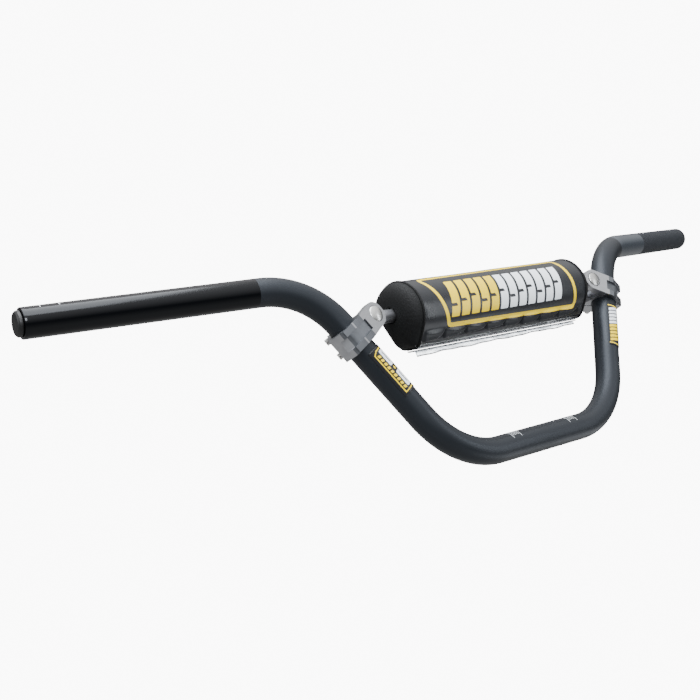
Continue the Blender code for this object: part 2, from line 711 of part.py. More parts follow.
pad_place = (PAD_MIDDLE_X, pin_height * sin(RISE_LEAN), pin_height * cos(RISE_LEAN))
pad_frame = add_empty("pad_frame", location=pad_place)
build_pad_roll(pad_frame)
for side, sign in SIDES:
    build_end_panel(side, sign, pad_frame)
build_closure(pad_frame)
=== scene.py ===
# %% [markdown]
# # A braced handlebar
# The object is a bent alloy tube for a small motorcycle, with a crossbar pinned between two
# clamps and a padded roll round the crossbar. The sizes, joints and bodies come from the packed
# CAD model, which loads first and stays fixed. Each piece made below rides on one of its bodies.

# %% Load the frame
import bpy
import bmesh
import numpy as np
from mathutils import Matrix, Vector


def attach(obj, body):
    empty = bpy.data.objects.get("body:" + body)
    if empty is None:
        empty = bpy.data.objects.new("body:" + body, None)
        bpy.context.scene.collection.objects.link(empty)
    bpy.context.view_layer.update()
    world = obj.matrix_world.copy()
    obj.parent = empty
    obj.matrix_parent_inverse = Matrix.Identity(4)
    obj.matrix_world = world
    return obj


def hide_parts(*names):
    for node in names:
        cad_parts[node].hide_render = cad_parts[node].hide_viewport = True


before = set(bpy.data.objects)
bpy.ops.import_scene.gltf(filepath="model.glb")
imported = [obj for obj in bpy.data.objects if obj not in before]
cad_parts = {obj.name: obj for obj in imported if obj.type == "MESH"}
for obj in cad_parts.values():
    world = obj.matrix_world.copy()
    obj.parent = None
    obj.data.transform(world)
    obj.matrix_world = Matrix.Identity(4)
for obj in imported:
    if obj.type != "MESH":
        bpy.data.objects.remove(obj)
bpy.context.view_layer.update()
MM = 0.001
SIDES = (("throttle_side", -1.0), ("clutch_side", 1.0))

# %% [markdown]
# ## Camera and light
# The view is from the front left, a little above the bar, with a long lens that keeps the near
# grip from looking huge. The surroundings are plain white, with no floor. A large lamp overhead
# gives the long soft highlights that show how a round tube turns.

# %% Camera
CAMERA_AT = Vector((-0.826, -0.627, 0.269))
CAMERA_LOOKS = Vector((0.683, 0.706, -0.187))

camera = bpy.data.objects.new("camera", bpy.data.cameras.new("camera"))
camera.data.sensor_width = 36.0
camera.data.lens = 65.6
camera.location = CAMERA_AT
camera.rotation_euler = CAMERA_LOOKS.to_track_quat("-Z", "Y").to_euler()
bpy.context.scene.collection.objects.link(camera)
bpy.context.scene.camera = camera
print("camera %.2f m from the origin" % CAMERA_AT.length)


# %% Colours and nodes
def linear(hex_colour):
    """An sRGB hex colour as linear light, with alpha 1."""
    srgb = np.array([int(hex_colour[i:i + 2], 16) for i in (1, 3, 5)]) / 255.0
    light = np.where(srgb <= 0.04045, srgb / 12.92, ((srgb + 0.055) / 1.055) ** 2.4)
    return (*light.tolist(), 1.0)


def add_node(tree, kind, links=None, **settings):
    """Adds one node. links gives each input a value, a hex colour, another node's output, or a
    node, which stands for its first output."""
    made = tree.nodes.new(kind)
    for key, value in settings.items():
        setattr(made, key, value)
    for key, value in (links or {}).items():
        if isinstance(value, bpy.types.Node):
            value = value.outputs[0]
        if isinstance(value, bpy.types.NodeSocket):
            tree.links.new(value, made.inputs[key])
        else:
            made.inputs[key].default_value = linear(value) if isinstance(value, str) else value
    return made


def mix_values(tree, factor, first, second):
    return add_node(tree, "ShaderNodeMix", {"Factor": factor, "A": first, "B": second},
                    data_type="FLOAT")


def mix_colours(tree, factor, first, second):
    """The output of a mix of two colours, each a hex colour or another output."""
    mixed = add_node(tree, "ShaderNodeMix", {"Factor": factor, "A": first, "B": second},
                     data_type="RGBA")
    return mixed.outputs["Result"]


def combine(tree, operation, *values):
    return add_node(tree, "ShaderNodeMath", dict(enumerate(values)), operation=operation)


def remap(tree, value, low, high, start=0.0, end=1.0):
    """low where the value is start, high where it is end, and clamped beyond them."""
    return add_node(tree, "ShaderNodeMapRange", {
        "Value": value, "From Min": start, "From Max": end, "To Min": low, "To Max": high})


def add_texture(tree, kind, scale, **inputs):
    """A texture in the object's own metres."""
    place = add_node(tree, "ShaderNodeTexCoord")
    return add_node(tree, "ShaderNodeTex" + kind, {
        "Vector": place.outputs["Object"], "Scale": scale, **inputs})


def add_bump(tree, height, strength, distance, under=None):
    """A bump as high as a distance in metres, on top of another if one is given."""
    links = {"Strength": strength, "Distance": distance, "Height": height}
    if under is not None:
        links["Normal"] = under
    return add_node(tree, "ShaderNodeBump", links)


def feed(shader, **sources):
    """Links inputs of a shader, each to an output or to a node's first output."""
    for key, source in sources.items():
        if isinstance(source, bpy.types.Node):
            source = source.outputs[0]
        shader.id_data.links.new(source, shader.inputs[key.replace("_", " ")])


def start_material(name, colour, metallic=0.0, roughness=0.5, **sockets):
    """A material with its Principled shader's own sockets set. Returns it, its tree and shader."""
    material = bpy.data.materials.new(name)
    material.use_nodes = True
    tree = material.node_tree
    shader = tree.nodes["Principled BSDF"]
    shader.inputs["Base Color"].default_value = linear(colour)
    shader.inputs["Metallic"].default_value = metallic
    shader.inputs["Roughness"].default_value = roughness
    for key, value in sockets.items():
        shader.inputs[key.replace("_", " ")].default_value = value
    return material, tree, shader


# %% Lamps and sky
LAMP_COLOUR = (0.92, 0.96, 1.0)
SKY_AS_SEEN = 10.0


def add_lamp(name, place, aim, size, watts):
    lamp = bpy.data.lights.new(name, "AREA")
    lamp.shape = "RECTANGLE"
    lamp.size, lamp.size_y = size
    lamp.energy = watts
    lamp.color = LAMP_COLOUR
    holder = bpy.data.objects.new(name, lamp)
    holder.location = place
    holder.rotation_euler = (Vector(aim) - Vector(place)).to_track_quat("-Z", "Y").to_euler()
    holder.visible_camera = False
    bpy.context.scene.collection.objects.link(holder)


add_lamp("overhead softbox", (-0.25, 0.15, 1.45), (0.0, 0.05, 0.0), (1.6, 1.0), 44.0)
add_lamp("front softbox", (-1.1, -1.7, 1.5), (0.0, 0.0, 0.1), (0.7, 0.7), 40.0)
add_lamp("left strip", (-1.7, 0.6, 0.5), (-0.1, 0.05, 0.1), (0.3, 1.0), 8.0)
add_lamp("right strip", (1.2, -1.2, 0.4), (0.1, 0.0, 0.05), (0.25, 1.2), 7.0)
add_lamp("low card", (0.62, -0.42, -0.45), (0.0, 0.04, 0.09), (1.1, 0.3), 1.6)

# The sky is plain white to the eye, and past clear parts. As light it is bright overhead and
# dark at the sides, as in a tent of black cards, so that dark and glossy surfaces keep contrast.
world = bpy.data.worlds.new("studio")
world.use_nodes = True
sky = world.node_tree
direction = add_node(sky, "ShaderNodeTexCoord")
height = add_node(sky, "ShaderNodeSeparateXYZ", {"Vector": direction.outputs["Generated"]})
overhead = remap(sky, height.outputs["Z"], 0.12, 2.1, 0.1, 0.9)
bounce = remap(sky, height.outputs["Z"], 0.0, 0.5, -0.05, -0.6)
light = combine(sky, "ADD", overhead, bounce)
ray = add_node(sky, "ShaderNodeLightPath")
seen = combine(sky, "MAXIMUM", ray.outputs["Is Camera Ray"], ray.outputs["Is Transmission Ray"])
background = sky.nodes["Background"]
background.inputs["Color"].default_value = (1.0, 1.0, 1.0, 1.0)
feed(background, Strength=mix_values(sky, seen, light, SKY_AS_SEEN))
bpy.context.scene.world = world
print("sky with %d nodes" % len(sky.nodes))

# %% [markdown]
# ## Surfaces from arrays
# Nearly every new piece here is a grid of points worked out as a whole array. One helper turns a
# grid into a mesh, gives it a UV map in metres, so that a pattern keeps its real size, and makes
# its faces look the way they should.


# %% Grid to mesh
def add_surface(name, grid, material, wrap=(False, False), uv=None, outward=None, values=None):
    """A mesh through a grid of points (rows, columns, xyz), with quads between neighbours.

    wrap closes it along rows or columns. outward, an array like grid or one vector, says which
    way the faces look. values are extra numbers, one for each point, kept as attributes."""
    rows, columns = grid.shape[:2]
    i, j = np.meshgrid(np.arange(rows - (not wrap[0])), np.arange(columns - (not wrap[1])),
                       indexing="ij")
    corners = [(i, j), (i + 1, j), (i + 1, j + 1), (i, j + 1)]
    quads = np.stack([(a % rows) * columns + b % columns for a, b in corners], -1).reshape(-1, 4)
    if outward is not None:
        flat = grid.reshape(-1, 3)
        p = [flat[quads[:, k]] for k in range(4)]
        normals = np.cross(p[2] - p[0], p[3] - p[1])
        want = np.broadcast_to(outward, grid.shape).reshape(-1, 3)[quads[:, 0]]
        if (normals * want).sum() < 0.0:
            quads = quads[:, ::-1]
            corners = corners[::-1]
    mesh = bpy.data.meshes.new(name)
    mesh.from_pydata(grid.reshape(-1, 3), [], quads)
    if uv is not None:
        layer = mesh.uv_layers.new(name="surface")
        spread = np.stack([uv[a, b] for a, b in corners], -2)
        layer.data.foreach_set("uv", spread.reshape(-1).astype(np.float32))
    for key, numbers in (values or {}).items():
        attribute = mesh.attributes.new(key, "FLOAT", "POINT")
        attribute.data.foreach_set("value", numbers.reshape(-1).astype(np.float32))
    mesh.shade_smooth()
    return add_piece(name, mesh, material)


def add_piece(name, mesh, material):
    mesh.materials.clear()
    mesh.materials.append(material)
    piece = bpy.data.objects.new(name, mesh)
    bpy.context.scene.collection.objects.link(piece)
    print("%s: %d faces" % (name, len(mesh.polygons)))
    return piece


def belongs(piece, body, slot, *nodes):
    """The piece rides on a body and stands for CAD nodes, which are hidden. The slot is not used."""
    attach(piece, body)
    if nodes:
        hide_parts(*nodes)


def close_up(mesh, merge=0.0):
    """Merges points nearer than a distance, fills open ends and turns the faces outwards."""
    bm = bmesh.new()
    bm.from_mesh(mesh)
    if merge > 0.0:
        bmesh.ops.remove_doubles(bm, verts=bm.verts, dist=merge)
    bmesh.ops.holes_fill(bm, edges=bm.edges)
    bmesh.ops.recalc_face_normals(bm, faces=bm.faces)
    bm.to_mesh(mesh)
    bm.free()


def smooth(mesh, sharp):
    """Smooth shading, except over edges that turn by more than an angle in degrees."""
    mesh.shade_smooth()
    mesh.set_sharp_from_angle(angle=np.radians(sharp))


def thicken(piece, name, thickness, offset):
    """Gives a surface a thickness in mm: behind it at an offset of -1, in front of it at 1."""
    wall = piece.modifiers.new(name, "SOLIDIFY")
    wall.thickness = thickness * MM
    wall.offset = offset


# %% Surfaces of revolution
def full_turn(count):
    """A number of angles, evenly spaced round a circle."""
    return np.linspace(0.0, 2.0 * np.pi, count, endpoint=False)


def add_turned(name, profile, start, axis, material):
    """Each profile point (height, radius) goes round an axis: start + height * axis +
    radius * (cos t * across + sin t * up). The first and last radius are 0, so it is closed."""
    height, radius = np.array(profile).T * MM
    axis = np.array(axis) / np.linalg.norm(axis)
    across = np.cross(axis, (0.3, 0.2, 0.93))
    across /= np.linalg.norm(across)
    up = np.cross(axis, across)
    t = full_turn(72)
    spoke = np.cos(t)[:, None] * across + np.sin(t)[:, None] * up
    grid = np.array(start) + height[:, None, None] * axis + radius[:, None, None] * spoke
    piece = add_surface(name, grid, material, wrap=(False, True))
    close_up(piece.data, 1e-6)
    smooth(piece.data, 50.0)
    return piece


def eased(profile, radius):
    """The profile with each inner corner rounded off: a short quadratic curve through it."""
    points = np.array(profile, float)
    before, corner, after = points[:-2], points[1:-1], points[2:]
    def towards(other):
        way = other - corner
        length = np.linalg.norm(way, axis=1, keepdims=True)
        return corner + way / length * np.minimum(radius, 0.45 * length)
    a, b = towards(before), towards(after)
    t = np.linspace(0.0, 1.0, 5)[None, :, None]
    curve = (1 - t) ** 2 * a[:, None] + 2 * t * (1 - t) * corner[:, None] + t ** 2 * b[:, None]
    return np.concatenate([points[:1], curve.reshape(-1, 2), points[-1:]])


# %% [markdown]
# ## The tube's path
# The tube is bent cold round formers, so its axis is straight runs joined by arcs. Everything on
# the tube is placed by two numbers: the distance along the axis from the throttle end, and the
# angle round it from the front of the risers.

# %% Axis of the tube
TUBE_R = 11.1 * MM
BORE_R = 8.1 * MM
RISE_LEAN = np.radians(30.1)
# The straight runs would meet at these corners, in mm: a riser's foot, its top and the tube's end.
FOOT_X, TOP_X, RISER_HEIGHT = 100.6, 189.0, 157.6
top_y, top_z = RISER_HEIGHT * np.sin(RISE_LEAN), RISER_HEIGHT * np.cos(RISE_LEAN)
corners = np.array([(FOOT_X, 0.0, 0.0), (TOP_X, top_y, top_z),
                    (400.9, top_y + 49.2, top_z - 9.1)]) * MM
corners = np.concatenate([corners[::-1] * (-1.0, 1.0, 1.0), corners])
BEND_RADII = np.array((72.0, 80.0, 80.0, 72.0)) * MM
RISER_FRONT = np.array((0.0, -np.cos(RISE_LEAN), np.sin(RISE_LEAN)))


def bend_arc(before, corner, after, radius):
    """Points on the arc that rounds a corner: centre + r * (cos p * out + sin p * forwards)."""
    a = (before - corner) / np.linalg.norm(before - corner)
    b = (after - corner) / np.linalg.norm(after - corner)
    turn = np.pi - np.arccos(a @ b)
    middle = (a + b) / np.linalg.norm(a + b)
    centre = corner + middle * radius / np.cos(turn / 2.0)
    out = (corner + a * radius * np.tan(turn / 2.0) - centre) / radius
    p = np.linspace(0.0, turn, 2 + int(turn / np.radians(1.2)))[:, None]
    return centre + radius * (np.cos(p) * out - np.sin(p) * a)


arcs = [bend_arc(*corners[k:k + 3], BEND_RADII[k]) for k in range(4)]
stations = [corners[0], *arcs, corners[-1]]
path = []
for first, second in zip(stations[:-1], stations[1:]):
    first, second = np.atleast_2d(first), np.atleast_2d(second)
    gap = second[0] - first[-1]
    steps = max(2, int(np.linalg.norm(gap) / (3.0 * MM)))
    path += [first, first[-1] + gap * np.linspace(0.0, 1.0, steps + 1)[1:-1, None]]
path = np.concatenate(path + [np.atleast_2d(stations[-1])])
run = np.concatenate([[0.0], np.cumsum(np.linalg.norm(np.diff(path, axis=0), axis=1))])
keep = np.concatenate([[True], np.diff(run) > 1e-6])
path, run = path[keep], run[keep]
TUBE_LENGTH = run[-1]
print("tube %.0f mm along its axis, %d stations" % (TUBE_LENGTH / MM, len(path)))


# %% Places on the tube
def axis_at(distance):
    """Place on the axis and the directions along it, to the front, and outboard, there."""
    distance = np.asarray(distance, float)
    at = np.stack([np.interp(distance, run, path[:, k]) for k in range(3)], -1)
    slope = np.gradient(path, run, axis=0)
    along = np.stack([np.interp(distance, run, slope[:, k]) for k in range(3)], -1)
    along /= np.linalg.norm(along, axis=-1, keepdims=True)
    front = RISER_FRONT - (along @ RISER_FRONT)[..., None] * along
    front /= np.linalg.norm(front, axis=-1, keepdims=True)
    return at, along, front, np.cross(along, front)


def on_tube(distance, angle, radius):
    """axis + radius * (cos angle * front + sin angle * outboard)."""
    at, _, front, outboard = axis_at(distance)
    outwards = np.cos(angle)[..., None] * front + np.sin(angle)[..., None] * outboard
    return at + np.asarray(radius)[..., None] * outwards, outwards


def distance_of(point):
    """How far along the axis a point near it lies."""
    k = np.argmin(np.linalg.norm(path - point, axis=1))
    return run[k] + (np.array(point) - path[k]) @ axis_at(run[k])[1]


GRIP_STRAIGHT = np.linalg.norm(corners[0] - corners[1])


def grip_distance(side, from_bend):
    """Distance along the axis of a place on a grip, given how far it is from the bend's corner."""
    inwards = GRIP_STRAIGHT - from_bend * MM
    return inwards if side < 0 else TUBE_LENGTH - inwards


# %% [markdown]
# ## Anodised tube
# The tube is drawn aluminium, blasted and dyed black in the anodising bath, which leaves a fine
# even satin. One grip end carries a glossy sleeve that the throttle turns on. The other is
# knurled, so that a glued grip can't creep, and its neck is smooth lacquer. The zones are kept as
# distances to their edges, and the shader turns a distance into a clean edge.


# %% Black anodised aluminium
def edge(tree, attribute, softness=0.12):
    """1 inside the shape whose distance in mm is in the attribute, and 0 outside."""
    distance = add_node(tree, "ShaderNodeAttribute", attribute_name=attribute)
    return remap(tree, distance.outputs["Fac"], 0.0, 1.0, -softness, softness)


# Dyed oxide over metal: dark and slightly blue, with broad satin highlights.
DYED = "#24282e"
anodised, tree, shader = start_material("black anodised aluminium", DYED, 0.55, 0.4)
gloss = edge(tree, "gloss_zone")
knurl = edge(tree, "knurl_zone")
coat_and_reflection = edge(tree, "coat_and_reflection_zone")
cloud = add_texture(tree, "Noise", 18.0, Detail=3.0)
rough = remap(tree, cloud, 0.36, 0.46, 0.3, 0.7)
for zone, zone_rough in ((knurl, 0.62), (gloss, 0.13), (coat_and_reflection, 0.24)):
    rough = mix_values(tree, zone, rough, zone_rough)
# The lacquer is a smooth coat over the same dye; its lighter grey is a painted reflection of the sky.
tint = mix_colours(tree, gloss, DYED, "#0b0d11")
tint = mix_colours(tree, coat_and_reflection, tint, "#4a5058")
# Diamond knurling: two sets of 45 degree ridges, 1.24 mm apart, which close round the tube.
KNURL_PITCH = 2.0 * np.pi * TUBE_R / 56.0
surface_uv = add_node(tree, "ShaderNodeUVMap", uv_map="surface")
split = add_node(tree, "ShaderNodeSeparateXYZ", {"Vector": surface_uv})
ridges = []
for sign in (1.0, -1.0):
    lean = combine(tree, "MULTIPLY_ADD", split.outputs["Y"], sign, split.outputs["X"])
    turns = combine(tree, "MULTIPLY", lean, 2.0 * np.pi / KNURL_PITCH)
    ridges.append(combine(tree, "COSINE", turns))
knurl_height = combine(tree, "MULTIPLY", combine(tree, "MINIMUM", *ridges), knurl)
# Blasting pits of about 0.3 mm, drawn at 0.8 mm so that they show.
blast = add_texture(tree, "Noise", 1250.0, Detail=2.0)
fine = add_bump(tree, blast, 0.12, 0.0002)
feed(shader, Base_Color=tint, Roughness=rough,
     Normal=add_bump(tree, knurl_height, 0.9, 0.00025, fine))

# %% The tube itself
# One closed profile: along the outside, over the chamfered end, back through the bore, and out.
outside = run[(run > 1.5 * MM) & (run < TUBE_LENGTH - 1.5 * MM)]
rim_s, rim_r = np.array(((0.0, 0.17, 0.6), (10.5, 10.93, 11.1))) * MM
lip_s, lip_r = np.array(((0.4, 0.0), (8.1, 8.5))) * MM
profile_s = np.concatenate([rim_s, outside, TUBE_LENGTH - rim_s[::-1],
                            TUBE_LENGTH - lip_s[::-1], outside[::-1], lip_s])
profile_r = np.concatenate([rim_r, np.full(len(outside), TUBE_R), rim_r[::-1],
                            lip_r[::-1], np.full(len(outside), BORE_R), lip_r])
TUBE_SIDES = 72
round_it = full_turn(TUBE_SIDES)
s_grid, t_grid = np.meshgrid(profile_s, round_it, indexing="ij")
tube_grid, outwards = on_tube(s_grid, t_grid, profile_r[:, None] + 0.0 * t_grid)
s_uv, t_uv = np.meshgrid(np.append(profile_s, profile_s[:1]),
                         np.linspace(0.0, 2.0 * np.pi * TUBE_R, TUBE_SIDES + 1), indexing="ij")
gloss_starts = grip_distance(-1, 43.5)
neck = [grip_distance(1, d) for d in (26.0, 89.7)]
gloss_zone = (gloss_starts - s_grid) / MM
coat_and_reflection_zone = np.minimum(s_grid - neck[0], neck[1] - s_grid) / MM
knurl_zone = (s_grid - neck[1]) / MM
WALL_MIDDLE_R = (TUBE_R + BORE_R) / 2.0
facing = outwards * np.where(profile_r > WALL_MIDDLE_R, 1.0, -1.0)[:, None, None]
tube = add_surface("bent_tube", tube_grid, anodised, wrap=(True, True),
                   uv=np.stack([s_uv, t_uv], -1), outward=facing,
                   values={"gloss_zone": gloss_zone, "coat_and_reflection_zone": coat_and_reflection_zone,
                           "knurl_zone": knurl_zone})
smooth(tube.data, 40.0)
belongs(tube, "bar", "anodised_tube", "handlebar_tube")

# %% [markdown]
# ## Printing on the tube
# The tube has white setting marks, and a film is stuck on each riser. A printed shape is kept as
# its signed distance in millimetres at each point, positive inside. A coarse grid then still
# gives a crisp edge, because the shader cuts the smooth distance at zero.


# %% Signed distances of flat shapes
def polygon_distance(x, y, polygon):
    """Distance into a polygon, in mm: the nearest of its sides, with the sign from how often a
    line to the right crosses them. Adding to it grows the shape and rounds its corners."""
    points = np.array(polygon, float)
    inside = np.zeros(np.shape(x), bool)
    nearest = np.full(np.shape(x), 1e9)
    for (ax, ay), (bx, by) in zip(points, np.roll(points, -1, axis=0)):
        ex, ey = bx - ax, by - ay
        along = np.clip(((x - ax) * ex + (y - ay) * ey) / (ex * ex + ey * ey), 0.0, 1.0)
        nearest = np.minimum(nearest, np.hypot(x - ax - along * ex, y - ay - along * ey))
        crosses = ((ay > y) != (by > y)) & (x < (bx - ax) * (y - ay) / (by - ay + 1e-12) + ax)
        inside ^= crosses
    return np.where(inside, nearest, -nearest)


def slanted(x, y, left, right, low, high, slant=0.0):
    """A parallelogram whose upright sides lean back by slant for each mm of height."""
    shift = slant * (low - high) / 2.0
    return polygon_distance(x, y, [(left - shift, low), (right - shift, low),
                                   (right + shift, high), (left + shift, high)])


def band(distance, width):
    """A line of a width that follows a shape's edge."""
    return width / 2.0 - np.abs(distance)


# %% White setting marks
mark_ink, tree, shader = start_material("white etched mark", "#dfe3e6", roughness=0.55)
grain = add_node(tree, "ShaderNodeTexNoise", {"Scale": 2500.0, "Detail": 2.0})
feed(shader, Base_Color=mix_colours(tree, grain, "#c9ced2", "#f0f2f4"))


def up_angle(distance):
    """The angle round the tube that faces straight up."""
    _, _, front, outboard = axis_at(distance)
    return np.arctan2(outboard[..., 2], front[..., 2])


def add_mark(name, middle, long, round_it, tilt=0.0):
    """A small curved patch on top of the tube, long by round_it mm."""
    s = middle + np.linspace(-0.5, 0.5, 3) * long * MM
    a = up_angle(middle) + tilt + np.linspace(-0.5, 0.5, 9) * round_it * MM / TUBE_R
    s, a = np.meshgrid(s, a, indexing="ij")
    grid, out = on_tube(s, a, np.full(s.shape, TUBE_R + 0.04 * MM))
    mark = add_surface(name, grid, mark_ink, outward=out)
    belongs(mark, "bar", "anodised_tube")


centre_run = distance_of((0.0, 0.0, 0.0))
for side_name, side in SIDES:
    # Six marks 2 mm apart. The first and the last are longer.
    for k, x in enumerate(np.linspace(32.2, 42.2, 6)):
        add_mark("setting_mark_%s_%d" % (side_name, k), centre_run + side * x * MM,
                 0.45, 9.0 if k % 5 else 14.0)
    for k, d in enumerate((191.1, 204.4) if side < 0 else (108.0, 188.0)):
        add_mark("grip_mark_%s_%d" % (side_name, k), grip_distance(side, d), 0.7, 5.0, 0.12)


# %% Printed film
def printed_material(name, ground, rough, inks):
    """A ground colour with inks laid over it, each inside its own attribute's edge."""
    material, tree, shader = start_material(name, ground, roughness=rough, Specular_IOR_Level=0.4)
    worn = add_texture(tree, "Noise", 60.0, Detail=4.0)
    result = mix_colours(tree, worn, ground, [min(1.0, 1.35 * c) for c in linear(ground)])
    for attribute, dark, light in inks:
        shade = mix_colours(tree, worn, dark, light)
        result = mix_colours(tree, edge(tree, attribute), result, shade)
    feed(shader, Base_Color=result)
    return material, tree, shader


# Screen-printed polyester under a clear laminate: flat saturated inks with a smooth gloss.
INKS = (("yellow_ink", "#efca00", "#f8d805"), ("white_ink", "#ecf4fd", "#fafdff"))
film, tree, shader = printed_material("printed polyester film", "#1a1b1e", 0.22, INKS)
DECAL_LOW, DECAL_MIDDLE, DECAL_HIGH = 69.0, 90.0, 112.5


def decal_grid(side, angles):
    """A patch on the riser, with its flat coordinates in mm: up the riser, and inboard round it."""
    up = np.linspace(DECAL_LOW, DECAL_HIGH, 88)
    round_mm = np.linspace(*np.radians(angles), 34) * TUBE_R / MM
    low, high = corners[2 if side < 0 else 3], corners[1 if side < 0 else 4]
    riser = (high - low) / np.linalg.norm(high - low)
    base = distance_of(low + riser * DECAL_MIDDLE * MM)
    u, w = np.meshgrid(up, round_mm, indexing="ij")
    s = base + side * (u - DECAL_MIDDLE) * MM
    grid, out = on_tube(s, -w * MM / TUBE_R, np.full(s.shape, TUBE_R + 0.3 * MM))
    return u, w, grid, out


def finish_decal(side_name, grid, out, yellow, white):
    decal = add_surface("riser_film_" + side_name, grid, film, outward=out,
                        values={"yellow_ink": yellow, "white_ink": white})
    thicken(decal, "film", 0.18, 1.0)
    belongs(decal, "bar", "printed_film", "riser_decal_" + side_name)


# Throttle side: a broken outline, two slotted white blocks and a row of small yellow lozenges.
u, w, grid, out = decal_grid(-1.0, (-40.0, 45.0))
outline = polygon_distance(u, w, [(71.5, -4.6), (108.0, -4.6), (110.0, -1.2), (110.0, 7.2),
                                  (71.5, 7.2)])
yellow = band(outline, 0.9)
for start in np.linspace(74.0, 104.0, 9):
    yellow = np.maximum(yellow, slanted(u, w, start, start + 2.3, -3.2, -0.9, 0.35))
yellow = np.maximum(yellow, polygon_distance(u, w, [(89.2, 2.6), (91.0, 1.3), (92.6, 2.6),
                                                    (91.0, 3.9)]))
white = np.full(u.shape, -9.0)
for start, end in ((73.6, 88.0), (93.8, 108.4)):
    block = slanted(u, w, start + 1.0, end - 1.0, 1.4, 5.4) + 1.0
    slot = slanted(u, w, start + 3.0, end - 2.2, 3.1, 3.7) + 0.25
    white = np.maximum(white, np.minimum(block, -slot))
finish_decal("throttle_side", grid, out, yellow, white)

# Clutch side: an outline round slanted bars, white in the upper half and yellow in the lower.
u, w, grid, out = decal_grid(1.0, (-42.0, 30.0))
yellow = band(slanted(u, w, 71.5, 110.0, -6.2, 6.0) + 0.6, 1.0)
white = np.full(u.shape, -9.0)
for start in np.arange(74.0, 106.5, 3.6):
    bar = slanted(u, w, start, start + 2.6, -4.4, 5.0, 0.3)
    if start > 89.0:
        white = np.maximum(white, bar)
    else:
        yellow = np.maximum(yellow, bar)
finish_decal("clutch_side", grid, out, yellow, white)

# %% [markdown]
# ## End plugs
# Each end of the tube is closed by a moulded polyethylene plug with a domed flange. A body turned
# from one profile is the natural way to make it, with each corner of the profile eased, since no
# moulding has a truly sharp edge.

# %% Plugs
moulded, tree, shader = start_material("black moulded polyethylene", "#0a0a0c", roughness=0.45)
# Spark-eroded mould texture, about 0.5 mm across.
spark = add_texture(tree, "Noise", 2000.0, Detail=3.0)
feed(shader, Normal=add_bump(tree, spark, 0.25, 0.0001), Roughness=remap(tree, spark, 0.38, 0.6))

PLUG_PROFILE = [(4.1, 0.0), (4.3, 2.4), (4.3, 4.6), (4.0, 8.0), (2.6, 9.25), (0.4, 9.25),
                (0.3, 7.4), (-3.0, 7.3), (-3.8, 7.8), (-6.0, 7.3), (-8.0, 7.3), (-8.8, 7.8), (-11.0, 7.3),
                (-13.0, 7.3), (-13.8, 7.8), (-16.0, 7.3), (-17.8, 7.0), (-17.9, 0.0)]
for side_name, side in SIDES:
    end = corners[0] if side < 0 else corners[5]
    outwards = end - (corners[1] if side < 0 else corners[4])
    plug = add_turned("end_plug_" + side_name, eased(PLUG_PROFILE, 0.5), end, outwards, moulded)
    belongs(plug, "plug_" + side_name, "moulded_plugs", "bar_end_plug_" + side_name)

# %% [markdown]
# ## Clamps
# The clamps are die-cast aluminium, tumbled to a satin; the saddle and the window floor are
# darkened with painted shade. Their shape comes from many cuts, so it is taken from the CAD
# solids: a copy is merged into whole faces, and a fine bevel gives every edge the small radius that
# catches the light.


# %% Bevelled copies of CAD solids
SHARP = 17.0


def add_softened(node, ending, body, slot, material, width):
    """A merged copy of a CAD node, with its edges rounded by width mm, on a body."""
    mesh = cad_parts[node].data.copy()
    mesh.name = node + ending
    bm = bmesh.new()
    bm.from_mesh(mesh)
    bmesh.ops.remove_doubles(bm, verts=bm.verts, dist=2e-6)
    bmesh.ops.dissolve_limit(bm, angle_limit=np.radians(0.6), verts=bm.verts, edges=bm.edges)
    bm.to_mesh(mesh)
    bm.free()
    for layer in [a.name for a in mesh.attributes if a.name in ("sharp_edge", "custom_normal")]:
        mesh.attributes.remove(mesh.attributes[layer])
    smooth(mesh, SHARP)
    piece = add_piece(node + ending, mesh, material)
    bevel = piece.modifiers.new("edges", "BEVEL")
    bevel.width = width * MM
    bevel.segments = 2
    bevel.limit_method = "ANGLE"
    bevel.angle_limit = np.radians(SHARP)
    bevel.use_clamp_overlap = True
    bevel.harden_normals = True
    belongs(piece, body, slot, node)


def satin_metal(name, colour, shade, low_rough, high_rough, tooth_mm, strength):
    """Satin metal: a fine tooth, and patches that are brighter and smoother."""
    material, tree, shader = start_material(name, colour, 1.0, low_rough)
    tooth = add_texture(tree, "Noise", 1000.0 / tooth_mm, Detail=3.0)
    patch = add_texture(tree, "Noise", 140.0, Detail=3.0)
    feed(shader, Base_Color=mix_colours(tree, patch, shade, colour),
         Roughness=remap(tree, patch, high_rough, low_rough, 0.3, 0.7),
         Normal=add_bump(tree, tooth, strength, 0.0001))
    return material


# The tumbling tooth is about 0.2 mm, drawn at 0.5 mm so that it shows.
casting = satin_metal("tumbled cast aluminium", "#b9babd", "#9fa1a5", 0.34, 0.46, 0.5, 0.35)

# The saddle over the tube and the floor of the window are painted a darker grey, as painted shade
# for facets that turn away from the light. They are found from how far a point is inboard of the
# tube's axis and in front of it. Both clamps are alike, so the place is mirrored to one side first.
CLAMP_ON_RISER = 128.8
riser_up = (corners[4] - corners[3]) / np.linalg.norm(corners[4] - corners[3])
inboard = np.cross(riser_up, RISER_FRONT)
inboard = inboard if inboard[0] < 0.0 else -inboard
clamp_middle = corners[3] + riser_up * CLAMP_ON_RISER * MM
tree = casting.node_tree
shader = tree.nodes["Principled BSDF"]
place = add_node(tree, "ShaderNodeTexCoord")
parts = add_node(tree, "ShaderNodeSeparateXYZ", {"Vector": place.outputs["Object"]})
folded = add_node(tree, "ShaderNodeCombineXYZ", {
    "X": combine(tree, "ABSOLUTE", parts.outputs["X"]), "Y": parts.outputs["Y"],
    "Z": parts.outputs["Z"]})
offset = add_node(tree, "ShaderNodeVectorMath", {0: folded, 1: tuple(clamp_middle)},
                  operation="SUBTRACT")


